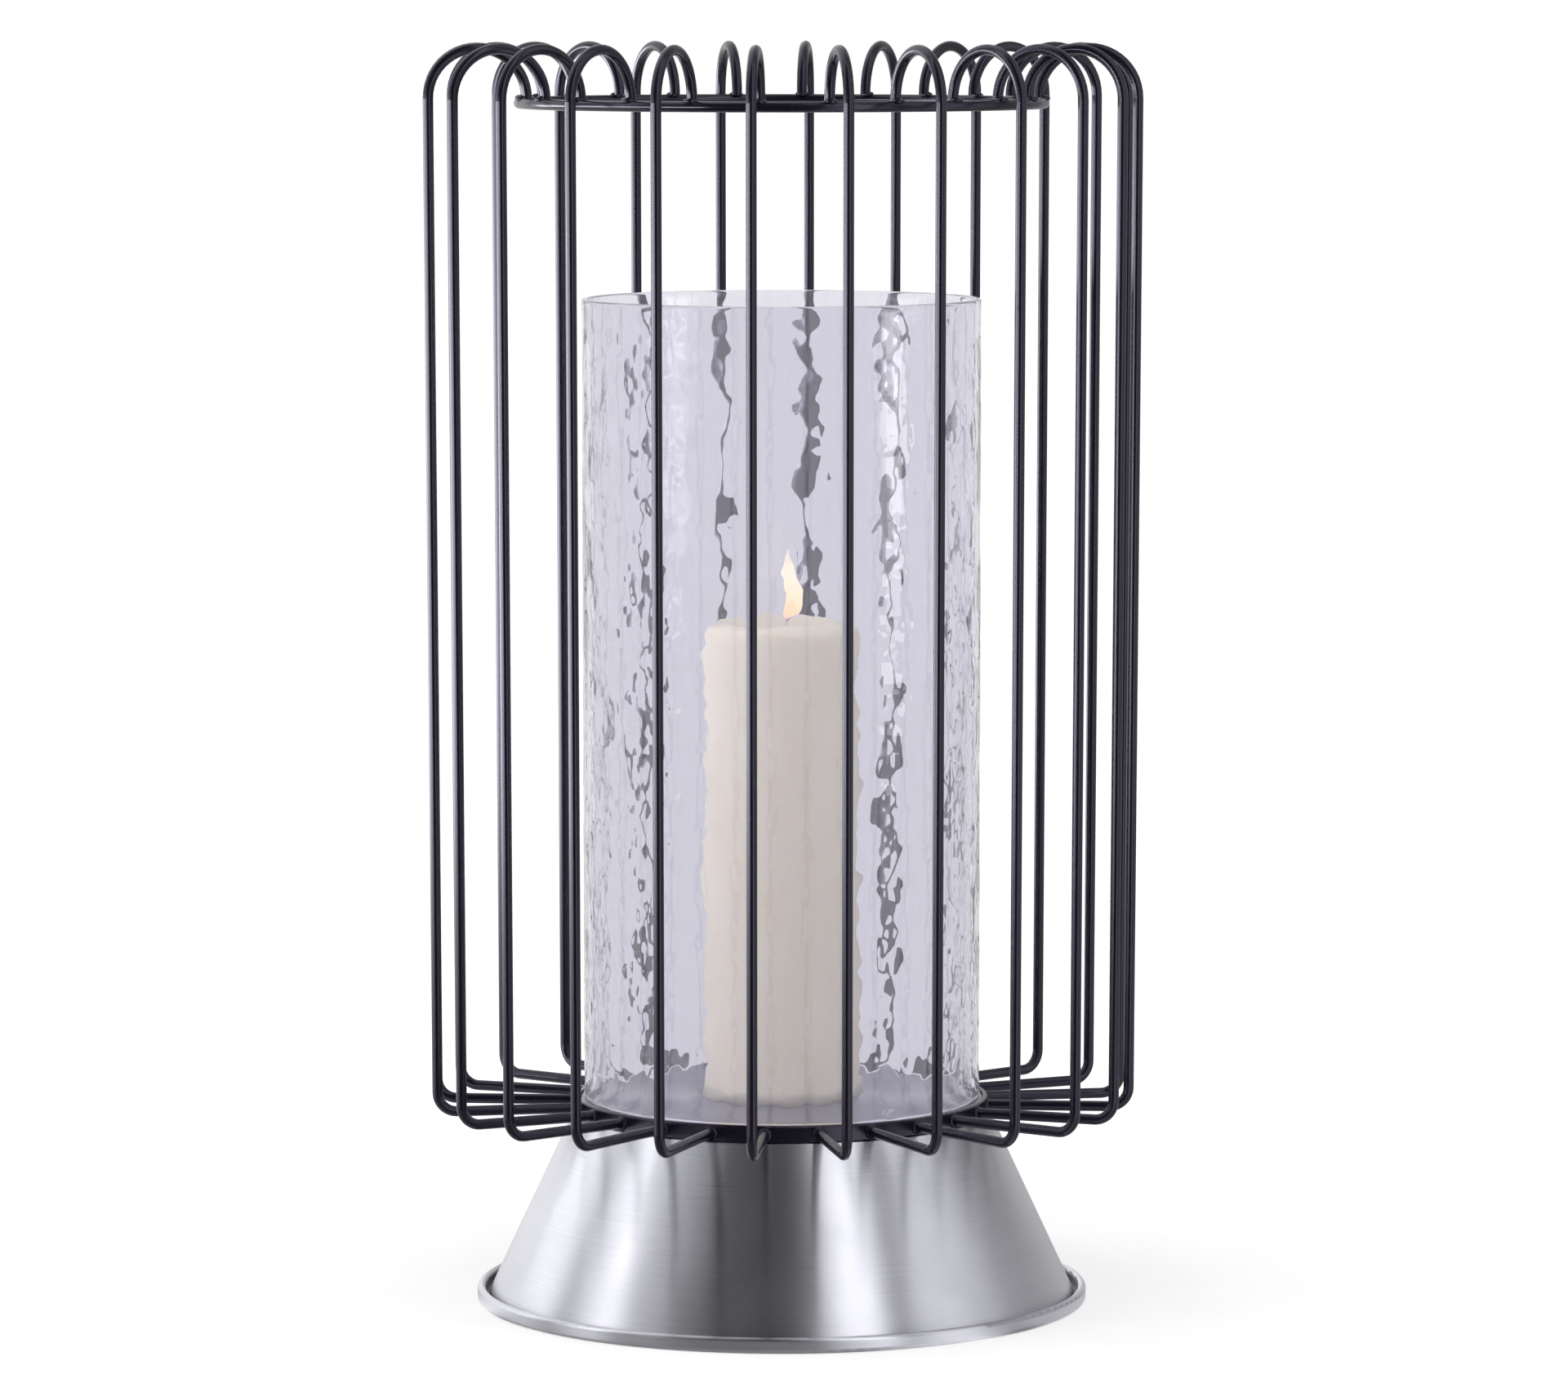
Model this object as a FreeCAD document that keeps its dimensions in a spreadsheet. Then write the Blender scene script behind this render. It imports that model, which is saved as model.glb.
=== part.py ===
"""Hurricane candle lantern: a spun metal base, a welded wire cage, a glass sleeve and a pillar candle.

Millimetres, +Z up. The origin is on the table, on the lantern's own axis.
"""
import FreeCAD
import Part
import Sketcher

import math
import os
from types import SimpleNamespace

# Driving dimensions: alias, value, meaning
DIMENSIONS = [
    ("base_height", 78.5, "table to the top of the plate"),
    ("collar_radius", 77.1, "outside of the collar that carries the hoop"),
    ("collar_height", 6.2, "shoulder of the cone to the top of the plate"),
    ("collar_edge_radius", 0.8, "rounding between plate and collar"),
    ("shoulder_radius", 80.0, "outside of the cone at its shoulder"),
    ("sheet_thickness", 1.2, "metal of the base"),
    ("rim_radius", 117.0, "outside of the rolled rim"),
    ("hem_thickness", 3.1, "rolled rim across"),
    ("hem_height", 6.0, "rolled rim above the table"),
    ("hem_foot_radius", 1.6, "outer rounding under the rim"),
    ("gutter_width", 1.35, "floor of the gutter between cone and rim"),
    ("gutter_floor", 2.4, "floor of the gutter above the table"),
    ("hoop_clearance", 0.1, "hoop to collar"),
    ("hoop_thickness", 1.8, "strip of the hoop"),
    ("hoop_height", 6.7, "strip of the hoop from edge to edge"),
    ("hoop_edge_radius", 0.6, "rounding of the strip's outer edges"),
    ("wire_diameter", 4.0, "cage wires and top ring"),
    ("wire_count", 24, "cage wires"),
    ("wire_lower_radius", 133.2, "axis to the middle of a wire at its lower bend"),
    ("wire_upper_radius", 135.0, "axis to the middle of a wire at its upper hook"),
    ("lower_bend_radius", 7.5, "lower bend, to the middle of the wire"),
    ("cage_height", 481.2, "table to the top of the hooks"),
    ("top_ring_radius", 99.5, "axis to the middle of the top ring's wire"),
    ("weld_gap", 0.05, "end of a hook above the top ring"),
    ("glass_radius", 76.0, "outside of the glass"),
    ("glass_wall", 2.4, "wall of the glass"),
    ("glass_height", 306.0, "glass from edge to edge"),
    ("glass_lip_radius", 0.9, "rounding of the glass edges"),
    ("candle_radius", 30.0, "outside of the candle"),
    ("candle_height", 183.0, "plate to the candle's highest edge"),
    ("candle_edge_radius", 3.5, "rounding of the candle's top edge"),
    ("pool_depth", 3.5, "melted hollow below the candle's edge"),
    ("wick_diameter", 2.4, "wick"),
    ("wick_rise", 4.0, "straight wick above the melted hollow"),
    ("wick_curl_radius", 6.5, "curl of the wick's tip"),
    ("wick_curl_height", 6.0, "rise of the curled tip"),
    ("screw_count", 3, "screws that hold the hoop to the collar"),
    ("screw_diameter", 2.0, "screw shank"),
    ("screw_clearance", 0.1, "hole round the shank, on the radius"),
    ("screw_head_diameter", 3.8, "screw head"),
    ("screw_head_height", 1.4, "screw head"),
    ("screw_head_gap", 0.2, "screw head below the plate"),
    ("screw_end_gap", 0.3, "end of the screw below the hoop's outer face"),
]


class Size:
    """A length that carries its number and the expression it comes from."""

    def __init__(self, value, text):
        self.value = value
        self.text = text

    def joined(self, sign, other, value):
        return Size(value, f"({self.text} {sign} {other.text})")

    def __add__(self, other):
        other = as_size(other)
        return self.joined("+", other, self.value + other.value)

    def __sub__(self, other):
        other = as_size(other)
        return self.joined("-", other, self.value - other.value)

    def __mul__(self, other):
        other = as_size(other)
        return self.joined("*", other, self.value * other.value)

    def __truediv__(self, other):
        other = as_size(other)
        return self.joined("/", other, self.value / other.value)


def as_size(number):
    return number if isinstance(number, Size) else Size(number, str(number))


def square_root(size):
    return Size(math.sqrt(size.value), f"sqrt({size.text})")


ZERO = as_size(0)


# Document and its sheet of dimensions
doc = FreeCAD.newDocument("lantern")
sheet = doc.addObject("Spreadsheet::Sheet", "Sizes")
for row, (alias, number, meaning) in enumerate(DIMENSIONS, start=1):
    sheet.set(f"A{row}", meaning)
    sheet.set(f"B{row}", str(number))
    sheet.setAlias(f"B{row}", alias)
doc.recompute()
size = SimpleNamespace(**{alias: Size(float(sheet.get(alias)), f"Sizes.{alias}") for alias, _, _ in DIMENSIONS})

# Levels and radii that several pieces share
shoulder_level = size.base_height - size.collar_height
collar_inner_radius = size.collar_radius - size.sheet_thickness
hoop_inner_radius = size.collar_radius + size.hoop_clearance
hoop_outer_radius = hoop_inner_radius + size.hoop_thickness
hoop_middle_level = shoulder_level + size.hoop_height / 2
wire_radius = size.wire_diameter / 2
hook_end_radius = size.top_ring_radius - wire_radius
hook_radius = (size.wire_upper_radius - hook_end_radius) / 2
hook_level = size.cage_height - wire_radius - hook_radius
top_ring_level = hook_level - size.weld_gap - wire_radius
plate_underside = size.base_height - size.sheet_thickness
screw_level = plate_underside - size.screw_head_gap - size.screw_head_diameter / 2
wick_radius = size.wick_diameter / 2
pool_level = size.base_height + size.candle_height - size.pool_depth


# Drawing helpers
def new_body(label):
    body = doc.addObject("PartDesign::Body", label)
    body.Label = label
    return body


def origin_feature(body, role):
    return next(feature for feature in body.Origin.OriginFeatures if feature.Role == role)


def new_sketch(body, name, plane):
    sketch = body.newObject("Sketcher::SketchObject", name)
    sketch.AttachmentSupport = [(origin_feature(body, plane), "")]
    sketch.MapMode = "FlatFace"
    return sketch


def bind(sketch, kind, references, length):
    """Add a dimension whose value comes from the sheet."""
    index = sketch.addConstraint(Sketcher.Constraint(kind, *references, length.value))
    sketch.setExpression(f"Constraints[{index}]", length.text)


VERTICAL_AXIS, HORIZONTAL_AXIS = range(-2, 0)
START, END, CENTRE = range(1, 4)
ORIGIN_POINT = (HORIZONTAL_AXIS, START)


def place_point(sketch, point, across, up):
    """Fix one point of a sketch at its distances from the sketch's origin."""
    if across is ZERO:
        sketch.addConstraint(Sketcher.Constraint("PointOnObject", *point, VERTICAL_AXIS))
    else:
        bind(sketch, "DistanceX", (*ORIGIN_POINT, *point), across)
    if up is ZERO:
        sketch.addConstraint(Sketcher.Constraint("PointOnObject", *point, HORIZONTAL_AXIS))
    else:
        bind(sketch, "DistanceY", (*ORIGIN_POINT, *point), up)


def vector(point):
    return FreeCAD.Vector(point[0].value, point[1].value, 0)


def arc_between(first, last, centre):
    """The arc from first to last about centre, and whether it runs clockwise."""
    middle = vector(centre)
    first_arm = vector(first) - middle
    last_arm = vector(last) - middle
    clockwise = first_arm.cross(last_arm).z < 0
    if clockwise:
        first_arm, last_arm = last_arm, first_arm
    circle = Part.Circle(middle, FreeCAD.Vector(0, 0, 1), first_arm.Length)
    angles = [math.atan2(arm.y, arm.x) for arm in (first_arm, last_arm)]
    return Part.ArcOfCircle(circle, *angles), clockwise


def draw_outline(sketch, corners, arc_centres=None):
    """A closed outline through the corners. The side after a corner named in arc_centres is an arc."""
    arc_centres = arc_centres or {}
    ends = []
    for number, corner in enumerate(corners):
        following = corners[(number + 1) % len(corners)]
        clockwise = False
        if number in arc_centres:
            shape, clockwise = arc_between(corner, following, arc_centres[number])
        else:
            shape = Part.LineSegment(vector(corner), vector(following))
        side = sketch.addGeometry(shape)
        ends.append(((side, END), (side, START)) if clockwise else ((side, START), (side, END)))
    for number, (begin, _) in enumerate(ends):
        before = ends[number - 1][1]
        sketch.addConstraint(Sketcher.Constraint("Coincident", *before, *begin))
        place_point(sketch, begin, *corners[number])
    for number, centre in arc_centres.items():
        bind(sketch, "DistanceY", (*ORIGIN_POINT, ends[number][0][0], CENTRE), centre[1])


def draw_circle(sketch, across, up, radius):
    circle = Part.Circle(FreeCAD.Vector(across.value, up.value, 0), FreeCAD.Vector(0, 0, 1), radius.value)
    number = sketch.addGeometry(circle)
    place_point(sketch, (number, CENTRE), across, up)
    bind(sketch, "Radius", (number,), radius)


def revolve(body, corners, arc_centres=None):
    """Turn a section, drawn as distance from the axis and height, about the vertical axis."""
    section = new_sketch(body, "Section", "XZ_Plane")
    draw_outline(section, corners, arc_centres)
    turned = body.newObject("PartDesign::Revolution", "Turned")
    turned.Profile = section
    turned.ReferenceAxis = (section, ["V_Axis"])
    return turned


def repeat_round_axis(body, feature, count):
    """Repeat a feature evenly about the vertical axis."""
    pattern = body.newObject("PartDesign::PolarPattern", "Around")
    pattern.Originals = [feature]
    pattern.Axis = (origin_feature(body, "Z_Axis"), [""])
    pattern.Angle = 360
    pattern.setExpression("Occurrences", count.text)
    body.Tip = pattern


def turn_about_axis(body, angle_text):
    """Place a body turned about the vertical axis."""
    body.Placement = FreeCAD.Placement(FreeCAD.Vector(), FreeCAD.Rotation(FreeCAD.Vector(0, 0, 1), 1))
    body.setExpression("Placement.Rotation.Angle", angle_text)


def drill_screw_holes(body):
    """Radial holes for the screws, drilled outwards from the axis."""
    drawing = new_sketch(body, "ScrewHole", "YZ_Plane")
    draw_circle(drawing, ZERO, screw_level, size.screw_diameter / 2 + size.screw_clearance)
    hole = body.newObject("PartDesign::Pocket", "Drilled")
    hole.Profile = drawing
    hole.Type = "ThroughAll"
    hole.Reversed = True
    repeat_round_axis(body, hole, size.screw_count)


def sweep(body, path, start_plane, start_offset, across, up, diameter):
    """Carry a round section along a path that begins square to start_plane."""
    section = new_sketch(body, "RoundSection", start_plane)
    section.setExpression("AttachmentOffset.Base.z", start_offset.text)
    draw_circle(section, across, up, diameter / 2)
    pipe = body.newObject("PartDesign::AdditivePipe", "Swept")
    pipe.Profile = section
    pipe.Spine = path


# Base: plate, collar, cone and rolled rim, spun from one sheet
def make_base():
    body = new_body("base_shell")
    hem_inner_radius = size.rim_radius - size.hem_thickness
    wall_foot_radius = hem_inner_radius - size.gutter_width
    wall_spread = (wall_foot_radius - size.shoulder_radius) / (shoulder_level - size.gutter_floor)
    wall_across = size.sheet_thickness * square_root(wall_spread * wall_spread + 1)
    shoulder_underside = shoulder_level - size.sheet_thickness
    inner_shoulder_radius = size.shoulder_radius + wall_spread * size.sheet_thickness - wall_across
    inner_foot_radius = size.shoulder_radius + wall_spread * shoulder_level - wall_across
    hem_round_level = size.hem_height - size.hem_thickness / 2
    hem_middle_radius = size.rim_radius - size.hem_thickness / 2
    hem_foot_edge = size.rim_radius - size.hem_foot_radius
    plate_edge = size.collar_radius - size.collar_edge_radius
    plate_edge_level = size.base_height - size.collar_edge_radius
    corners = [
        (inner_foot_radius, ZERO),
        (hem_foot_edge, ZERO),
        (size.rim_radius, size.hem_foot_radius),
        (size.rim_radius, hem_round_level),
        (hem_inner_radius, hem_round_level),
        (hem_inner_radius, size.gutter_floor),
        (wall_foot_radius, size.gutter_floor),
        (size.shoulder_radius, shoulder_level),
        (size.collar_radius, shoulder_level),
        (size.collar_radius, plate_edge_level),
        (plate_edge, size.base_height),
        (ZERO, size.base_height),
        (ZERO, plate_underside),
        (collar_inner_radius, plate_underside),
        (collar_inner_radius, shoulder_underside),
        (inner_shoulder_radius, shoulder_underside),
    ]
    rounded_sides = {
        1: (hem_foot_edge, size.hem_foot_radius),
        3: (hem_middle_radius, hem_round_level),
        9: (plate_edge, plate_edge_level),
    }
    revolve(body, corners, rounded_sides)
    drill_screw_holes(body)
    return body


# Cage: hoop, top ring, wires and the screws that hold the hoop to the collar
def make_hoop():
    body = new_body("cage_hoop")
    hoop_top = shoulder_level + size.hoop_height
    edge_radius = hoop_outer_radius - size.hoop_edge_radius
    low_edge_level = shoulder_level + size.hoop_edge_radius
    high_edge_level = hoop_top - size.hoop_edge_radius
    corners = [
        (hoop_inner_radius, shoulder_level),
        (edge_radius, shoulder_level),
        (hoop_outer_radius, low_edge_level),
        (hoop_outer_radius, high_edge_level),
        (edge_radius, hoop_top),
        (hoop_inner_radius, hoop_top),
    ]
    rounded_sides = {
        1: (edge_radius, low_edge_level),
        3: (edge_radius, high_edge_level),
    }
    revolve(body, corners, rounded_sides)
    drill_screw_holes(body)
    return body


def make_top_ring():
    ring = doc.addObject("Part::Torus", "cage_top_ring")
    ring.Label = "cage_top_ring"
    ring.setExpression("Radius1", size.top_ring_radius.text)
    ring.setExpression("Radius2", wire_radius.text)
    ring.setExpression("Placement.Base.z", top_ring_level.text)
    return ring


def draw_wire_path(sketch):
    """Lower leg, lower bend, long side and hook: straight runs and arcs that meet smoothly."""
    bend_centre = (size.wire_lower_radius - size.lower_bend_radius, hoop_middle_level + size.lower_bend_radius)
    hook_centre = (hook_end_radius + hook_radius, hook_level)
    leg_start = (hoop_outer_radius, hoop_middle_level)
    leg_end = (bend_centre[0], hoop_middle_level)
    side_start = (size.wire_lower_radius, bend_centre[1])
    side_end = (size.wire_upper_radius, hook_level)
    hook_end = (hook_end_radius, hook_level)

    leg = sketch.addGeometry(Part.LineSegment(vector(leg_start), vector(leg_end)))
    bend = sketch.addGeometry(arc_between(leg_end, side_start, bend_centre)[0])
    side = sketch.addGeometry(Part.LineSegment(vector(side_start), vector(side_end)))
    hook = sketch.addGeometry(arc_between(side_end, hook_end, hook_centre)[0])
    for before, after in ((leg, bend), (bend, side), (side, hook)):
        sketch.addConstraint(Sketcher.Constraint("Tangent", before, END, after, START))
    place_point(sketch, (leg, START), *leg_start)
    place_point(sketch, (bend, CENTRE), *bend_centre)
    bind(sketch, "Radius", (bend,), size.lower_bend_radius)
    place_point(sketch, (hook, CENTRE), *hook_centre)
    bind(sketch, "Radius", (hook,), hook_radius)
    bind(sketch, "DistanceY", (*ORIGIN_POINT, hook, END), hook_level)


def make_wire(number):
    body = new_body(f"cage_wire_{number + 1:02d}")
    path = new_sketch(body, "Path", "XZ_Plane")
    draw_wire_path(path)
    sweep(body, path, "YZ_Plane", hoop_outer_radius, ZERO, hoop_middle_level, size.wire_diameter)
    turn_about_axis(body, f"{number} * 360 deg / {size.wire_count.text}")
    return body


def make_screws():
    """Pan-head screws, each turned about its own level axis and then repeated round the lantern."""
    body = new_body("cage_screws")
    body.AllowCompound = True
    shank_radius = size.screw_diameter / 2
    head_radius = size.screw_head_diameter / 2
    head_seat = square_root(collar_inner_radius * collar_inner_radius - head_radius * head_radius)
    section = new_sketch(body, "Section", "XZ_Plane")
    corners = [
        (head_seat - size.screw_head_height, screw_level),
        (hoop_outer_radius - size.screw_end_gap, screw_level),
        (hoop_outer_radius - size.screw_end_gap, screw_level + shank_radius),
        (head_seat, screw_level + shank_radius),
        (head_seat, screw_level + head_radius),
        (head_seat - size.screw_head_height, screw_level + head_radius),
    ]
    draw_outline(section, corners)
    turned = body.newObject("PartDesign::Revolution", "Turned")
    turned.Profile = section
    turned.ReferenceAxis = (section, ["Edge1"])
    repeat_round_axis(body, turned, size.screw_count)
    return body


# Glass: a sleeve, open at both ends, that stands on the plate inside the hoop
def make_glass():
    body = new_body("glass_cylinder")
    inner_radius = size.glass_radius - size.glass_wall
    top = size.base_height + size.glass_height
    lip = size.glass_lip_radius
    low_lip_level = size.base_height + lip
    high_lip_level = top - lip
    corners = [
        (inner_radius + lip, size.base_height),
        (size.glass_radius - lip, size.base_height),
        (size.glass_radius, low_lip_level),
        (size.glass_radius, high_lip_level),
        (size.glass_radius - lip, top),
        (inner_radius + lip, top),
        (inner_radius, high_lip_level),
        (inner_radius, low_lip_level),
    ]
    rounded_sides = {
        1: (size.glass_radius - lip, low_lip_level),
        3: (size.glass_radius - lip, high_lip_level),
        5: (inner_radius + lip, high_lip_level),
        7: (inner_radius + lip, low_lip_level),
    }
    revolve(body, corners, rounded_sides)
    return body


# Candle: a pillar with a melted hollow, and its wick
def make_candle():
    body = new_body("candle_body")
    top = size.base_height + size.candle_height
    edge_radius = size.candle_radius - size.candle_edge_radius
    edge_level = top - size.candle_edge_radius
    hollow_width = edge_radius - wick_radius
    hollow_radius = (hollow_width * hollow_width + size.pool_depth * size.pool_depth) / (size.pool_depth * 2)
    corners = [
        (wick_radius, size.base_height),
        (size.candle_radius, size.base_height),
        (size.candle_radius, edge_level),
        (edge_radius, top),
        (wick_radius, pool_level),
    ]
    rounded_sides = {
        2: (edge_radius, edge_level),
        3: (wick_radius, pool_level + hollow_radius),
    }
    revolve(body, corners, rounded_sides)
    return body


def make_wick():
    """A straight core through the wax with a tip that curls over."""
    body = new_body("candle_wick")
    path = new_sketch(body, "Path", "XZ_Plane")
    curl_level = pool_level + size.wick_rise
    core_start = (ZERO, size.base_height)
    core_end = (ZERO, curl_level)
    curl_centre = (size.wick_curl_radius, curl_level)
    rise_share = size.wick_curl_height / size.wick_curl_radius
    tip_back = size.wick_curl_radius * square_root(as_size(1) - rise_share * rise_share)
    tip = (size.wick_curl_radius - tip_back, curl_level + size.wick_curl_height)
    core = path.addGeometry(Part.LineSegment(vector(core_start), vector(core_end)))
    curl = path.addGeometry(arc_between(core_end, tip, curl_centre)[0])
    path.addConstraint(Sketcher.Constraint("Tangent", core, END, curl, END))
    place_point(path, (core, START), *core_start)
    place_point(path, (curl, CENTRE), *curl_centre)
    bind(path, "Radius", (curl,), size.wick_curl_radius)
    bind(path, "DistanceY", (*ORIGIN_POINT, curl, START), tip[1])
    sweep(body, path, "XY_Plane", size.base_height, ZERO, ZERO, size.wick_diameter)
    return body


def check_document(pieces):
    """Stop before anything is written if an object failed or a piece has no sound shape."""
    failed = [item.Label for item in doc.Objects if {"Invalid", "Error"} & set(item.State)]
    if failed:
        raise RuntimeError(f"failed objects: {failed}")
    for piece in pieces:
        if piece.Shape.isNull() or not piece.Shape.isValid() or not piece.Shape.Solids:
            raise RuntimeError(f"no sound shape: {piece.Label}")


pieces = [make_base(), make_hoop(), make_top_ring(), make_screws(), make_glass(), make_candle(), make_wick()]
pieces += [make_wire(number) for number in range(round(size.wire_count.value))]
doc.recompute()
check_document(pieces)

os.makedirs("parts", exist_ok=True)
for piece in pieces:
    piece.Shape.exportStep(f"parts/{piece.Label}.step")
    box = piece.Shape.BoundBox
    print(f"{piece.Label}: {len(piece.Shape.Solids)} solid, {piece.Shape.Volume:.1f} mm3,"
          f" z {box.ZMin:.2f} to {box.ZMax:.2f}, x {box.XMin:.2f} to {box.XMax:.2f}")
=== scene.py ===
"""Looks of the hurricane candle lantern: metal, paint, glass, wax, wick, flame and welds, and the studio."""

import math

import bmesh
import bpy
from mathutils import Matrix, Vector, noise


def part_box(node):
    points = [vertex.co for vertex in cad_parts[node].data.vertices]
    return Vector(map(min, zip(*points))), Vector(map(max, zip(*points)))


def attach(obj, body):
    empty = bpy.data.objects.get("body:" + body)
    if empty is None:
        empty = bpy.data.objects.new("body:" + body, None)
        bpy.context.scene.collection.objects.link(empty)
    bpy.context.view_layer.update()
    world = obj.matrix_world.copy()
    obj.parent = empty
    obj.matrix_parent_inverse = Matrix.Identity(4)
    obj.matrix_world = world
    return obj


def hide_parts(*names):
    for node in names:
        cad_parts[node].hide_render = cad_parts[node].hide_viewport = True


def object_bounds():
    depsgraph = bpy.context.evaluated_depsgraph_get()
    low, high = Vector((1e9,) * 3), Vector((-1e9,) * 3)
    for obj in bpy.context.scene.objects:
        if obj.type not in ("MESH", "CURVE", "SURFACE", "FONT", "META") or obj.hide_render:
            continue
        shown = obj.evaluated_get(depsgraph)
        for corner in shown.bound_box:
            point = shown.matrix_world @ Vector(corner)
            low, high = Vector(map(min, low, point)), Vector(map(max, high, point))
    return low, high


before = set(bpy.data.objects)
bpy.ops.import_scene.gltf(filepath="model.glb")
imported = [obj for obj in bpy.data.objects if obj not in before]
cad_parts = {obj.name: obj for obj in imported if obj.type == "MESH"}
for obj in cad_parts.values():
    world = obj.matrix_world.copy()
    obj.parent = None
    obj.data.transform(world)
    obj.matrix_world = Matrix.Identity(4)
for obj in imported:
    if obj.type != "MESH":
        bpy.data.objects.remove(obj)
cad_low, cad_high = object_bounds()

# Sizes read from the frame, in metres
glass_low, glass_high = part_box("glass_cylinder")
candle_low, candle_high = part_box("candle_body")
wick_low, wick_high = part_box("candle_wick")
_, base_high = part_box("base_shell")
hoop_low, hoop_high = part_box("cage_hoop")
ring_low, ring_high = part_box("cage_top_ring")
wire_names = sorted(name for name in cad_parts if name.startswith("cage_wire_"))

GLASS_RADIUS = glass_high.x
CANDLE_RADIUS = candle_high.x
RIM_RADIUS = base_high.x
PLATE_HEIGHT = base_high.z
RING_WIRE_RADIUS = (ring_high.z - ring_low.z) / 2
RING_RADIUS = ring_high.x - RING_WIRE_RADIUS
RING_HEIGHT = (ring_low.z + ring_high.z) / 2
HOOP_RADIUS = hoop_high.x
HOOP_MIDDLE = (hoop_low.z + hoop_high.z) / 2
WIRE_STEP = 2 * math.pi / len(wire_names)

# The flame, whose foot lies just below the candle's rim
FLAME_HEIGHT = 0.0295
FLAME_RADIUS = 0.0043
FLAME_FOOT = candle_high.z - 0.0005
FLAME_TIP = FLAME_FOOT + FLAME_HEIGHT

# Where noise textures mostly lie
NOISE_LOW = 0.3
NOISE_HIGH = 0.7

WHITE = (1.0, 1.0, 1.0, 1.0)

# Camera's place round the object in degrees, from straight in front and positive to the right
CAMERA_AZIMUTH = 4.66


# Mesh helpers

def link_piece(name, mesh):
    """New object of a mesh, with smooth shading, in the scene."""
    mesh.shade_smooth()
    piece = bpy.data.objects.new(name, mesh)
    bpy.context.scene.collection.objects.link(piece)
    return piece


def polar(radius, angle, height):
    return Vector((radius * math.cos(angle), radius * math.sin(angle), height))


def round_angles(count):
    """Evenly spaced angles of one full turn."""
    return [2 * math.pi * number / count for number in range(count)]


def skin_rings(points, faces, rings, loop=False, first_pole=None, last_pole=None):
    """Adds the skin over rings of points. The skin ends in poles, or meets itself where loop is set."""
    start = len(points)
    count = len(rings[0])
    points.extend(point for ring in rings for point in ring)
    bands = len(rings) if loop else len(rings) - 1
    for row in range(bands):
        here = start + row * count
        above = start + (row + 1) % len(rings) * count
        for column in range(count):
            after = (column + 1) % count
            faces.append((here + column, here + after, above + after, above + column))
    top = start + (len(rings) - 1) * count
    for pole, edge, turn in ((first_pole, start, -1), (last_pole, top, 1)):
        if pole is None:
            continue
        points.append(pole)
        for column in range(count):
            pair = (edge + column, edge + (column + 1) % count)
            faces.append((*pair[::turn], len(points) - 1))


def skin_piece(name, skins):
    """Piece made of one or more skins, each given as keyword values of skin_rings."""
    points = []
    faces = []
    for skin in skins:
        skin_rings(points, faces, **skin)
    mesh = bpy.data.meshes.new(name)
    mesh.from_pydata(points, [], faces)
    return link_piece(name, mesh)


# Material helpers

def new_material(name):
    """New node material: returns it with its node tree and its Principled shader."""
    material = bpy.data.materials.new(name)
    material.use_nodes = True
    return material, material.node_tree, material.node_tree.nodes["Principled BSDF"]


def feed(tree, node, inputs):
    """Gives inputs of a node their values: constants, or the outputs that feed them."""
    for socket, source in inputs.items():
        if isinstance(source, bpy.types.NodeSocket):
            tree.links.new(node.inputs[socket], source)
        else:
            node.inputs[socket].default_value = source


def add_node(tree, kind, inputs=None, **settings):
    """New node with its settings and its inputs."""
    node = tree.nodes.new(kind)
    for setting, value in settings.items():
        setattr(node, setting, value)
    feed(tree, node, inputs or {})
    return node


def place_coordinates(tree):
    """Coordinates in metres in the object's own frame."""
    return add_node(tree, "ShaderNodeTexCoord").outputs["Object"]


def split_axes(tree, vector):
    """The X, Y and Z of a vector."""
    return list(add_node(tree, "ShaderNodeSeparateXYZ", {"Vector": vector}).outputs)


def stretched(tree, coordinates, scale):
    """Coordinates scaled by a number for each axis."""
    return add_node(tree, "ShaderNodeMapping", {"Vector": coordinates, "Scale": scale}).outputs["Vector"]


def noise_value(tree, coordinates, scale, detail=2.0, roughness=0.5):
    inputs = {"Vector": coordinates, "Scale": scale, "Detail": detail, "Roughness": roughness}
    return add_node(tree, "ShaderNodeTexNoise", inputs).outputs["Fac"]


def rescale(tree, value, low, high, from_low=NOISE_LOW, from_high=NOISE_HIGH):
    """Value brought to the range low to high, from the range of noise unless another is given."""
    inputs = {"Value": value, "From Min": from_low, "From Max": from_high, "To Min": low, "To Max": high}
    return add_node(tree, "ShaderNodeMapRange", inputs).outputs["Result"]


def ramp(tree, value, stops):
    """Colour ramp through (position, colour) stops in rising order."""
    node = add_node(tree, "ShaderNodeValToRGB", {"Fac": value})
    elements = node.color_ramp.elements
    elements.remove(elements[1])
    for number, (position, colour) in enumerate(stops):
        element = elements[0] if number == 0 else elements.new(position)
        element.position = position
        element.color = (*colour, 1.0)
    return node.outputs["Color"]


def two_tones(tree, value, first, last):
    """Colour that goes from first to last with a noise."""
    return ramp(tree, value, ((NOISE_LOW, first), (NOISE_HIGH, last)))


def math_value(tree, operation, first, second=0.0):
    """One sum of two values, each a number or an output."""
    return add_node(tree, "ShaderNodeMath", {0: first, 1: second}, operation=operation).outputs["Value"]


def vector_math(tree, operation, *vectors):
    """Outputs of one sum of vectors."""
    return add_node(tree, "ShaderNodeVectorMath", dict(enumerate(vectors)), operation=operation).outputs


def mix_colours(tree, share, first, last):
    """Colour between two colours, each a constant or an output."""
    inputs = {"Fac": share, "Color1": first, "Color2": last}
    return add_node(tree, "ShaderNodeMixRGB", inputs).outputs["Color"]


def mix_shaders(tree, share, first, last):
    return add_node(tree, "ShaderNodeMixShader", {0: share, 1: first, 2: last}).outputs["Shader"]


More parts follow.
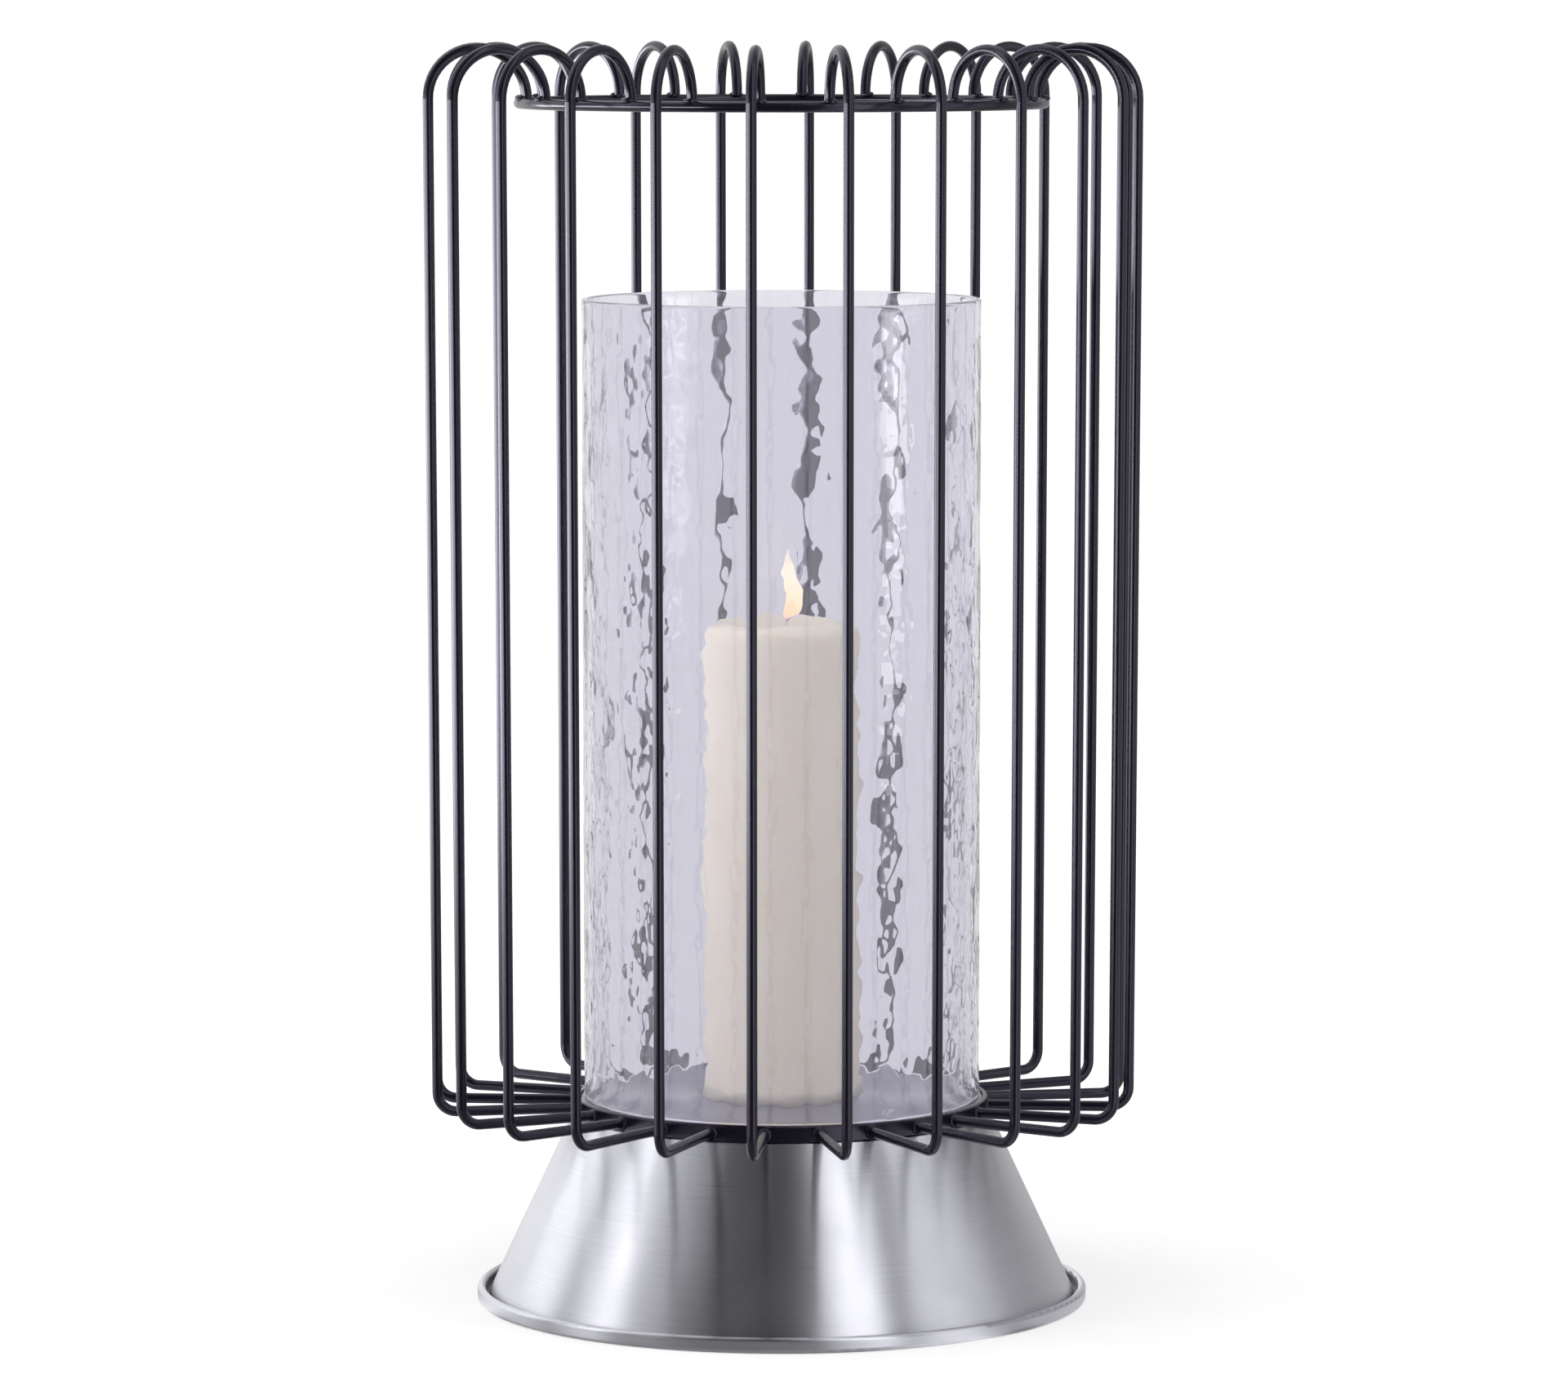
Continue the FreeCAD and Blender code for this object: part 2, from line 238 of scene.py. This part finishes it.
def bumped_normal(tree, height, distance, strength=1.0):
    inputs = {"Height": height, "Distance": distance, "Strength": strength}
    return add_node(tree, "ShaderNodeBump", inputs).outputs["Normal"]


def show_surface(tree, surface):
    """Makes a shader the surface of its material."""
    feed(tree, tree.nodes["Material Output"], {"Surface": surface})


# Materials

def gutter_painted_shade(tree, radius, height):
    """Share of the painted shade on the floor of the gutter inside the rolled rim."""
    gutter_middle = RIM_RADIUS - 0.0038
    unshaded_height = 0.0062
    shaded_height = 0.0042
    unshaded_distance = 0.0013
    shaded_distance = 0.0008
    off_middle = math_value(tree, "ABSOLUTE", math_value(tree, "SUBTRACT", radius, gutter_middle))
    low = rescale(tree, height, 0.0, 1.0, unshaded_height, shaded_height)
    near = rescale(tree, off_middle, 0.0, 1.0, unshaded_distance, shaded_distance)
    return math_value(tree, "MULTIPLY", low, near)


def make_spun_metal():
    """Bare aluminium turned on a lathe: fine marks round the axis, so lights stretch along the slope."""
    material, tree, shader = new_material("spun_metal")
    marks_per_metre = 1500
    plate_margin = 0.0003
    # Near-black painted shade for the floor of the gutter inside the rolled rim
    gutter_shade_tone = (0.03, 0.03, 0.032, 1.0)
    # Darker tone painted on the plate's top, standing in for its shade and dark reflection inside the glass
    plate_shade_tone = (0.385, 0.37, 0.43, 1.0)
    place = place_coordinates(tree)
    x, y, height = split_axes(tree, place)
    flat = add_node(tree, "ShaderNodeCombineXYZ", {"X": x, "Y": y}).outputs["Vector"]
    radius = vector_math(tree, "LENGTH", flat)["Value"]
    around = vector_math(tree, "NORMALIZE", flat)["Vector"]
    along_slope = math_value(tree, "SUBTRACT", height, radius)
    slope_lines = math_value(tree, "MULTIPLY", along_slope, marks_per_metre)
    lifted = add_node(tree, "ShaderNodeCombineXYZ", {"Z": slope_lines}).outputs["Vector"]
    lathe_place = vector_math(tree, "ADD", around, lifted)["Vector"]
    marks = noise_value(tree, lathe_place, scale=1.0, detail=4.0, roughness=0.65)
    handling = noise_value(tree, place, scale=45.0, detail=3.0)

    bare = two_tones(tree, marks, (0.655, 0.655, 0.715), (0.735, 0.735, 0.80))
    # Painted shade: the gutter's floor is darkened towards near-black
    gutter_shaded = mix_colours(tree, gutter_painted_shade(tree, radius, height), bare, gutter_shade_tone)
    # The plate's top is painted darker than the cone's bare metal, as painted shade and reflection
    on_plate = math_value(tree, "GREATER_THAN", height, PLATE_HEIGHT - plate_margin)
    plate_shaded = mix_colours(tree, on_plate, gutter_shaded, plate_shade_tone)
    wear = math_value(tree, "ADD", rescale(tree, marks, -0.03, 0.03), rescale(tree, handling, 0.29, 0.34))
    tangent = add_node(tree, "ShaderNodeTangent", direction_type="RADIAL", axis="Z").outputs["Tangent"]
    feed(tree, shader, {
        "Base Color": plate_shaded,
        "Metallic": 1.0,
        "Roughness": wear,
        "Anisotropic": 1.0,
        "Anisotropic Rotation": 0.25,
        "Tangent": tangent,
        "Normal": bumped_normal(tree, marks, distance=0.00001),
    })
    return material


def make_black_coat():
    """Satin black powder coat with a faint orange peel."""
    material, tree, shader = new_material("black_coat")
    place = place_coordinates(tree)
    peel = noise_value(tree, place, scale=700.0)
    cloud = noise_value(tree, place, scale=60.0)
    feed(tree, shader, {
        "Base Color": two_tones(tree, cloud, (0.0055, 0.0047, 0.0095), (0.0090, 0.0077, 0.0150)),
        "Roughness": rescale(tree, peel, 0.215, 0.225),
        "Specular IOR Level": 0.55,
        "Specular Tint": (0.82, 0.78, 1.0, 1.0),
        "Normal": bumped_normal(tree, peel, distance=0.000005, strength=0.5),
    })
    return material


def make_plated_steel():
    """Zinc-plated screw steel, duller in patches."""
    material, tree, shader = new_material("plated_steel")
    place = place_coordinates(tree)
    patches = noise_value(tree, place, scale=700.0, detail=3.0)
    feed(tree, shader, {
        "Base Color": two_tones(tree, patches, (0.42, 0.42, 0.44), (0.62, 0.61, 0.60)),
        "Metallic": 1.0,
        "Roughness": rescale(tree, patches, 0.28, 0.46),
        "Normal": bumped_normal(tree, patches, distance=0.00003),
    })
    return material


def make_hammered_glass():
    """Faintly violet, slightly hazy glass. Lamps shine through it in straight lines.

    Rays that have bounced many times end on the glass in a painted glow that stands in for the lit wall's
    light.
    """
    material, tree, shader = new_material("hammered_glass")
    haze_facing = 0.055
    haze_slanting = 0.35
    slant_power = 4.0
    many_crossings = 6.5
    place = place_coordinates(tree)
    ripple = noise_value(tree, stretched(tree, place, (1.0, 1.0, 0.5)), scale=300.0, detail=1.0)
    feed(tree, shader, {
        "Base Color": (0.805, 0.795, 0.855, 1.0),
        "Roughness": 0.0,
        "IOR": 1.48,
        "Transmission Weight": 1.0,
        "Normal": bumped_normal(tree, ripple, distance=0.000006),
    })
    haze = add_node(tree, "ShaderNodeBsdfDiffuse", {"Color": (0.86, 0.85, 0.93, 1.0)}).outputs["BSDF"]
    facing = add_node(tree, "ShaderNodeLayerWeight").outputs["Facing"]
    slanting = math_value(tree, "POWER", facing, slant_power)
    haze_share = math_value(tree, "ADD", math_value(tree, "MULTIPLY", slanting, haze_slanting), haze_facing)
    hazy = mix_shaders(tree, haze_share, shader.outputs["BSDF"], haze)

    path = add_node(tree, "ShaderNodeLightPath").outputs
    painted_glow_share = math_value(tree, "GREATER_THAN", path["Ray Depth"], many_crossings)
    # Painted glow: a pale emission that stands in for light on deeply bounced rays
    glow = add_node(tree, "ShaderNodeEmission", {"Color": (0.72, 0.71, 0.78, 1.0)}).outputs["Emission"]
    lit = mix_shaders(tree, painted_glow_share, hazy, glow)
    clear = add_node(tree, "ShaderNodeBsdfTransparent", {"Color": (0.91, 0.905, 0.935, 1.0)}).outputs["BSDF"]
    show_surface(tree, mix_shaders(tree, path["Is Shadow Ray"], lit, clear))
    return material


def make_ivory_wax():
    """Ivory candle wax that lets light in, mottled and a little dimpled."""
    material, tree, shader = new_material("ivory_wax")
    place = place_coordinates(tree)
    mottle = noise_value(tree, stretched(tree, place, (1.0, 1.0, 0.35)), scale=70.0, detail=4.0)
    dimple = noise_value(tree, place, scale=260.0, detail=3.0)
    feed(tree, shader, {
        "Base Color": two_tones(tree, mottle, (0.86, 0.795, 0.635), (0.895, 0.845, 0.70)),
        "Roughness": rescale(tree, dimple, 0.42, 0.6),
        "Subsurface Weight": 0.6,
        "Subsurface Radius": (1.0, 0.7, 0.45),
        "Subsurface Scale": 0.006,
        "Normal": bumped_normal(tree, dimple, distance=0.0004, strength=0.5),
    })
    return material


def make_wick_cotton():
    """Cotton wick, charred towards its tip."""
    material, tree, shader = new_material("wick_cotton")
    char_start = candle_high.z - 0.002
    char_end = candle_high.z + 0.003
    place = place_coordinates(tree)
    fibre = noise_value(tree, stretched(tree, place, (1.0, 1.0, 0.3)), scale=3000.0, detail=3.0)
    height = split_axes(tree, place)[2]
    burnt = rescale(tree, height, 0.0, 1.0, char_start, char_end)
    ragged = math_value(tree, "ADD", burnt, rescale(tree, fibre, -0.2, 0.2))
    tint = ramp(tree, ragged, (
        (0.1, (0.72, 0.66, 0.54)), (0.45, (0.20, 0.12, 0.07)), (0.8, (0.018, 0.014, 0.013)),
    ))
    feed(tree, shader, {
        "Base Color": tint,
        "Roughness": rescale(tree, fibre, 0.75, 0.95),
        "Normal": bumped_normal(tree, fibre, distance=0.0002),
    })
    return material


def make_flame_light():
    """Candle flame: clear and bluish at its foot, pale yellow in its body, fading at its tip."""
    material, tree, _ = new_material("flame_light")
    place = place_coordinates(tree)
    height = split_axes(tree, place)[2]
    rise = rescale(tree, height, 0.0, 1.0, FLAME_FOOT, FLAME_TIP)
    flicker = noise_value(tree, stretched(tree, place, (1.0, 1.0, 0.4)), scale=500.0)
    wavering = math_value(tree, "ADD", rise, rescale(tree, flicker, -0.05, 0.05))
    tint = ramp(tree, wavering, (
        (0.0, (0.55, 0.50, 0.75)), (0.15, (1.0, 0.72, 0.45)), (0.35, (1.0, 0.86, 0.60)),
        (0.7, (1.0, 0.88, 0.72)), (1.0, (1.0, 0.78, 0.66)),
    ))
    thickness = ((0.0, 0.55), (0.12, 0.95), (0.6, 0.95), (0.85, 0.55), (1.0, 0.15))
    body = ramp(tree, wavering, [(position, (level,) * 3) for position, level in thickness])
    glow = add_node(tree, "ShaderNodeEmission", {"Color": tint, "Strength": 1.4}).outputs["Emission"]
    clear = add_node(tree, "ShaderNodeBsdfTransparent").outputs["BSDF"]
    show_surface(tree, mix_shaders(tree, body, clear, glow))
    return material


# Pieces

def dress(node_names, material):
    """Gives CAD nodes a material."""
    for name in node_names:
        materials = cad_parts[name].data.materials
        materials.clear()
        materials.append(material)


def finish_piece(piece, material, body, replaced=None):
    """Gives a piece its material and its body, and hides the CAD node that it stands for."""
    piece.data.materials.append(material)
    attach(piece, body)
    if replaced:
        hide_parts(replaced)


def make_glass_sleeve():
    """Open glass sleeve, smooth inside and hammered outside, with rounded lips."""
    wall = 0.0024
    lip = 0.0009
    columns = 560
    rows = 360
    lip_steps = 4
    fade_height = 0.004
    guard = 0.002
    bump_softness = 30.0
    pattern_shift = Vector((2.3, 10.7, 6.1))
    wave = {"across": 0.028, "along": 0.045, "depth": 0.00020}
    bump_layers = (
        {"across": 0.0120, "along": 0.0150, "foot_depth": 0.00032, "head_depth": 0.00048},
        {"across": 0.0044, "along": 0.0056, "foot_depth": 0.00020, "head_depth": 0.00008},
    )

    def spot_on_glass(layer, angle, height):
        return polar(GLASS_RADIUS / layer["across"], angle, height / layer["along"]) + pattern_shift

    def bumps(spot):
        """Round bumps with soft valleys: minus the squared distance to the nearest of scattered points."""
        closeness = [math.exp(-bump_softness * distance ** 2) for distance in noise.voronoi(spot)[0]]
        return math.log(sum(closeness)) / bump_softness

    def relief(angle, height):
        """Depth of the hammering: broad waves, bumps and pebbles, which fade out at the two lips."""
        total = wave["depth"] * noise.noise(spot_on_glass(wave, angle, height))
        rise = (height - glass_low.z) / (glass_high.z - glass_low.z)
        for layer in bump_layers:
            depth = layer["foot_depth"] * (1 - rise) + layer["head_depth"] * rise
            total += depth * bumps(spot_on_glass(layer, angle, height))
        edge = min(height - glass_low.z, glass_high.z - height) - lip
        return total * min(1.0, max(0.0, edge / fade_height))

    angles = round_angles(columns)
    foot = glass_low.z + lip
    head = glass_high.z - lip
    rings = []
    for row in range(rows + 1):
        height = foot + (head - foot) * row / rows
        rings.append([polar(GLASS_RADIUS + relief(angle, height), angle, height) for angle in angles])
    turns = [math.pi / 2 * step / lip_steps for step in range(1, lip_steps + 1)]
    outer_lip = [(GLASS_RADIUS - lip + lip * math.cos(turn), lip * math.sin(turn)) for turn in turns]
    inner_lip = [(GLASS_RADIUS - wall + lip - lip * math.cos(turn), lip * math.sin(turn)) for turn in turns]
    section = [(radius, head + rise) for radius, rise in outer_lip + inner_lip[::-1]]
    # Guard rings close to the lips keep the shading of the inner wall straight
    section.extend((GLASS_RADIUS - wall, height) for height in (head, head - guard, foot + guard, foot))
    section.extend((radius, foot - rise) for radius, rise in inner_lip + outer_lip[::-1])
    rings.extend([polar(radius, angle, height) for angle in angles] for radius, height in section)
    return skin_piece("glass_sleeve", [{"rings": rings, "loop": True}])


def make_candle_pillar():
    """Pillar candle with a softened, uneven rim round a shallow melted pool."""
    columns = 128
    side_rows = 36
    rim_steps = 6
    pool_steps = 7
    rim_rounding = 0.0045
    rim_fall = 0.0014
    rim_lumps = 1.6
    side_swell = 0.00025
    side_lumps = 2.0
    lump_height = 0.03
    pool_depth = 0.0045
    pool_share = 0.80

    def unevenness(angle, height, lumps):
        return noise.noise(polar(lumps, angle, height / lump_height))

    angles = round_angles(columns)
    side_radius = CANDLE_RADIUS - side_swell
    side_top = candle_high.z - rim_rounding
    rings = []
    for row in range(side_rows + 1):
        height = candle_low.z + (side_top - candle_low.z) * row / side_rows
        swells = [side_swell * unevenness(angle, height, side_lumps) for angle in angles]
        rings.append([polar(side_radius + swell, angle, height) for swell, angle in zip(swells, angles)])
    falls = [rim_fall * (0.5 + 0.5 * unevenness(angle, 0.0, rim_lumps)) for angle in angles]
    for step in range(1, rim_steps + 1):
        turn = math.pi / 2 * step / rim_steps
        radius = side_radius - rim_rounding * (1 - math.cos(turn))
        rise = rim_rounding * math.sin(turn)
        rings.append([polar(radius, angle, side_top + rise - fall * math.sin(turn))
                      for fall, angle in zip(falls, angles)])
    for step in range(1, pool_steps + 1):
        share = step / pool_steps
        dip = 0.5 - 0.5 * math.cos(math.pi * share)
        radius = (CANDLE_RADIUS - rim_rounding) * (1 - share * pool_share)
        rings.append([polar(radius, angle, candle_high.z - fall * (1 - dip) - pool_depth * dip)
                      for fall, angle in zip(falls, angles)])
    foot = Vector((0, 0, candle_low.z))
    pool = Vector((0, 0, candle_high.z - pool_depth))
    return skin_piece("candle_pillar", [{"rings": rings, "first_pole": foot, "last_pole": pool}])


def wick_centre(share):
    """Point on the wick's middle line, upright at first and curling over towards its tip."""
    width = wick_high.x - wick_low.x
    tip = wick_high.x - width / 4
    rise = wick_high.z - wick_low.z
    return Vector((tip * share ** 2, 0.0, wick_low.z + rise * share))


def make_wick_braid():
    """Wick of three strands twisted together."""
    strands = 3
    strand_radius = 0.00062
    lay_radius = 0.00062
    tip_taper = 0.35
    turns = 2.0
    steps = 40
    sides = 12
    skins = []
    for strand in range(strands):
        rings = []
        for step in range(steps + 1):
            share = step / steps
            twist = 2 * math.pi * (turns * share + strand / strands)
            middle = wick_centre(share) + polar(lay_radius, twist, 0.0)
            radius = strand_radius * (1 - tip_taper * share ** 4)
            rings.append([middle + polar(radius, angle, 0.0) for angle in round_angles(sides)])
        ends = [sum(ring, Vector()) / sides for ring in (rings[0], rings[-1])]
        skins.append({"rings": rings, "first_pole": ends[0], "last_pole": ends[1]})
    return skin_piece("candle_wick_braid", skins)


def make_flame():
    """Tear-shaped flame on the wick's tip, leaning back over the candle."""
    sides = 32
    steps = 28
    foot_reach = 0.0020
    lean = -0.0014
    sway = 0.0035
    sway_power = 0.6
    fullness = 2.6
    taper_power = 1.25

    def centre(share):
        reach = foot_reach + lean * share + sway * math.sin(math.pi * share ** sway_power)
        return Vector((reach, 0.0, FLAME_FOOT + FLAME_HEIGHT * share))

    rings = []
    for step in range(1, steps):
        share = step / steps
        width = FLAME_RADIUS * fullness * math.sqrt(share) * (1 - share) ** taper_power
        rings.append([centre(share) + polar(width, angle, 0.0) for angle in round_angles(sides)])
    skin = {"rings": rings, "first_pole": centre(0.0), "last_pole": centre(1.0)}
    return skin_piece("candle_flame", [skin])


def make_welds():
    """Small weld beads where each wire meets the hoop and the top ring."""
    hoop_bead = Vector((0.0012, 0.0030, 0.0028))
    ring_bead = Vector((0.0024, 0.0027, 0.0012))
    spots = (
        (HOOP_RADIUS, HOOP_MIDDLE, hoop_bead),
        (RING_RADIUS, RING_HEIGHT + RING_WIRE_RADIUS, ring_bead),
    )
    unevenness = 0.18
    lumps = 1.3
    pattern_step = 100
    shape = bmesh.new()
    for number in range(len(wire_names)):
        turn = Matrix.Rotation(WIRE_STEP * number, 4, "Z")
        for radius, height, size in spots:
            place = turn @ Matrix.Translation((radius, 0.0, height)) @ Matrix.Diagonal((*size, 1.0))
            pattern = Vector((number, height * pattern_step, 0))
            bead = bmesh.ops.create_icosphere(shape, subdivisions=2, radius=1.0)["verts"]
            for vertex in bead:
                swell = 1 + unevenness * noise.noise(vertex.co * lumps + pattern)
                vertex.co = place @ (vertex.co * swell)
    mesh = bpy.data.meshes.new("cage_welds")
    shape.to_mesh(mesh)
    shape.free()
    return link_piece("cage_welds", mesh)


black_coat = make_black_coat()
dress(["base_shell"], make_spun_metal())
dress(["cage_hoop", "cage_top_ring", *wire_names], black_coat)
dress(["cage_screws"], make_plated_steel())
finish_piece(make_glass_sleeve(), make_hammered_glass(), "glass", "glass_cylinder")
finish_piece(make_candle_pillar(), make_ivory_wax(), "candle", "candle_body")
finish_piece(make_wick_braid(), make_wick_cotton(), "candle", "candle_wick")
finish_piece(make_flame(), make_flame_light(), "candle")
finish_piece(make_welds(), black_coat, "lantern")


# Studio

def round_object(azimuth, distance, height):
    """Point round the object. Azimuth 0 is in front, and positive to the right, in degrees."""
    turn = math.radians(azimuth)
    return Vector((distance * math.sin(turn), -distance * math.cos(turn), height))


def turned_to_camera(tree, direction):
    """Azimuth of a direction as a share of a full turn: 0.5 towards the camera, more to its right."""
    turn = (0.0, 0.0, math.pi / 2 - math.radians(CAMERA_AZIMUTH))
    front = add_node(tree, "ShaderNodeMapping", {"Vector": direction, "Rotation": turn}).outputs["Vector"]
    return add_node(tree, "ShaderNodeTexGradient", {"Vector": front}, gradient_type="RADIAL").outputs["Fac"]


def turn_share(degrees):
    return 0.5 + degrees / 360


def studio_walls(tree, azimuth):
    """Brightness of the studio in metal and paint: dark round the camera, with bright strips at the sides.

    Each stop has its azimuth from the camera in degrees, positive to the right, and its brightness.
    The stops were set until the bands on the cone looked like the photograph's.
    """
    left = (
        (-180, 1.15), (-164, 0.95), (-131, 1.2), (-113, 1.45), (-99, 0.15), (-87, 1.6), (-76, 2.2),
        (-66, 0.22), (-53, 0.40),
    )
    front = ((-44, 0.10), (-34, 0.04), (-24, 0.045), (3, 0.055), (12, 0.09), (16, 0.22))
    right = (
        (21, 0.9), (28, 1.6), (40, 2.3), (46, 0.8), (50, 0.02), (54, 0.1), (60, 0.85), (70, 1.05),
        (81, 1.05), (93, 0.88), (107, 0.42), (124, 0.34), (148, 0.5), (165, 0.55), (180, 0.6),
    )
    stops = [(turn_share(degrees), (level,) * 3) for degrees, level in left + front + right]
    return ramp(tree, azimuth, stops)


def between(tree, value, low, high):
    """One where a value lies between two bounds."""
    above = math_value(tree, "GREATER_THAN", value, low)
    below = math_value(tree, "LESS_THAN", value, high)
    return math_value(tree, "MULTIPLY", above, below)


def floor_patch(tree, azimuth, distance, turns, reach, brightness):
    """Brightness of a patch of the floor between two azimuths, in degrees, and two distances."""
    sector = between(tree, azimuth, *(turn_share(degrees) for degrees in turns))
    band = between(tree, distance, *reach)
    return math_value(tree, "MULTIPLY", math_value(tree, "MULTIPLY", sector, band), brightness)


def straight_rays(tree, path):
    """One for what the camera sees directly or through glass."""
    return math_value(tree, "MAXIMUM", path["Is Camera Ray"], path["Is Transmission Ray"])


def floor_in_mirror(tree, place, distance, path, far_end):
    """Light of the floor as shiny surfaces show it: paint and metal blur it, and glass shows it sharp.

    The patches stand in for bright windows and sheets, set to give the photograph's highlights.
    """
    near_end = 0.35
    near_share = 0.4
    near_glow = 0.3
    azimuth = turned_to_camera(tree, place)
    walls = studio_walls(tree, azimuth)
    spot = (azimuth, distance)
    left_window = floor_patch(tree, *spot, turns=(-128, -32), reach=(1.5, far_end), brightness=10.0)
    right_sheet = floor_patch(tree, *spot, turns=(61, 76), reach=(3.3, far_end), brightness=3.5)
    left_sheet = floor_patch(tree, *spot, turns=(-80, -58), reach=(6.0, 10.0), brightness=1.5)
    far_light = math_value(tree, "ADD", walls, left_window)
    near_light = math_value(tree, "ADD", math_value(tree, "MULTIPLY", walls, near_share), near_glow)
    in_paint = mix_colours(tree, math_value(tree, "LESS_THAN", distance, near_end), far_light, near_light)
    in_glass = math_value(tree, "ADD", math_value(tree, "ADD", right_sheet, left_sheet), 1.0)
    return mix_colours(tree, path["Is Singular Ray"], in_paint, in_glass)


def make_floor_white(far_end):
    """White that keeps a faint shadow near the object. Reflections show floor_in_mirror's light instead."""
    material, tree, shader = new_material("floor_white")
    glow_near = 0.58
    glow_far = 0.85
    shadow_start = 0.12
    shadow_end = 0.5
    place = place_coordinates(tree)
    grain = noise_value(tree, place, scale=30.0)
    path = add_node(tree, "ShaderNodeLightPath").outputs
    distance = vector_math(tree, "LENGTH", place)["Value"]
    own_light = rescale(tree, distance, glow_near, glow_far, shadow_start, shadow_end)
    feed(tree, shader, {
        "Base Color": two_tones(tree, grain, (0.50, 0.50, 0.50), (0.53, 0.53, 0.53)),
        "Roughness": 0.9,
        "Specular IOR Level": 0.0,
        "Emission Color": WHITE,
        "Emission Strength": math_value(tree, "MULTIPLY", straight_rays(tree, path), own_light),
    })
    mirrored = floor_in_mirror(tree, place, distance, path, far_end)
    shown = add_node(tree, "ShaderNodeEmission", {"Color": mirrored}).outputs["Emission"]
    show_surface(tree, mix_shaders(tree, path["Is Glossy Ray"], shader.outputs["BSDF"], shown))
    return material


def make_floor():
    """Level floor just under the object."""
    half = 40.0
    level = cad_low.z - 0.0001
    corners = [(-half, -half, level), (half, -half, level), (half, half, level), (-half, half, level)]
    mesh = bpy.data.meshes.new("floor")
    mesh.from_pydata(corners, [], [(0, 1, 2, 3)])
    mesh.materials.append(make_floor_white(half))
    link_piece("floor", mesh)


def make_world():
    """White studio seen directly and in glass, with darker and paler walls that metal and paint show."""
    ambient = (0.46, 0.46, 0.465, 1.0)
    world = bpy.data.worlds.new("studio")
    bpy.context.scene.world = world
    world.use_nodes = True
    world.cycles.sampling_method = "NONE"
    tree = world.node_tree
    direction = add_node(tree, "ShaderNodeTexCoord").outputs["Generated"]
    walls = studio_walls(tree, turned_to_camera(tree, direction))
    path = add_node(tree, "ShaderNodeLightPath").outputs
    shiny = mix_colours(tree, path["Is Glossy Ray"], ambient, walls)
    white = math_value(tree, "MAXIMUM", straight_rays(tree, path), path["Is Singular Ray"])
    feed(tree, tree.nodes["Background"], {"Color": mix_colours(tree, white, shiny, WHITE)})


def aim(thing, place, target):
    """Puts a lamp or a camera at a place, turned to a target, and into the scene."""
    thing.location = place
    thing.rotation_mode = "QUATERNION"
    thing.rotation_quaternion = (target - place).to_track_quat("-Z", "Y")
    bpy.context.scene.collection.objects.link(thing)


def make_softbox(name, azimuth, distance, rise, width, height, brightness):
    """Soft rectangular lamp, turned to the object. Reflections don't show it: they show the walls instead.

    Brightness is its surface's own, where white is 1.
    """
    object_middle = Vector((0.0, 0.0, 0.25))
    lamp = bpy.data.lights.new(name, "AREA")
    lamp.shape = "RECTANGLE"
    lamp.size = width
    lamp.size_y = height
    lamp.energy = brightness * math.pi * width * height
    softbox = bpy.data.objects.new(name, lamp)
    softbox.visible_camera = False
    softbox.visible_glossy = False
    aim(softbox, round_object(azimuth, distance, rise), object_middle)


def make_camera():
    """Camera at the photograph's place, aimed at the middle of its picture."""
    distance = 2.672
    height = 0.4994
    aim_height = 0.2325
    aim_right = 0.0009
    camera_data = bpy.data.cameras.new("camera")
    camera_data.sensor_fit = "HORIZONTAL"
    camera_data.sensor_width = 36.0
    camera_data.lens = 161.35
    camera = bpy.data.objects.new("camera", camera_data)
    target = round_object(CAMERA_AZIMUTH + 90, aim_right, aim_height)
    aim(camera, round_object(CAMERA_AZIMUTH, distance, height), target)
    bpy.context.scene.camera = camera


make_floor()
make_world()
make_softbox("left_softbox", azimuth=-75, distance=1.6, rise=1.0, width=1.0, height=1.2, brightness=3.0)
make_softbox("right_softbox", azimuth=70, distance=1.7, rise=0.7, width=0.8, height=0.9, brightness=1.6)
make_softbox("top_softbox", azimuth=12, distance=1.0, rise=1.6, width=1.0, height=0.8, brightness=3.3)
make_camera()
bpy.context.scene.view_settings.view_transform = "Standard"
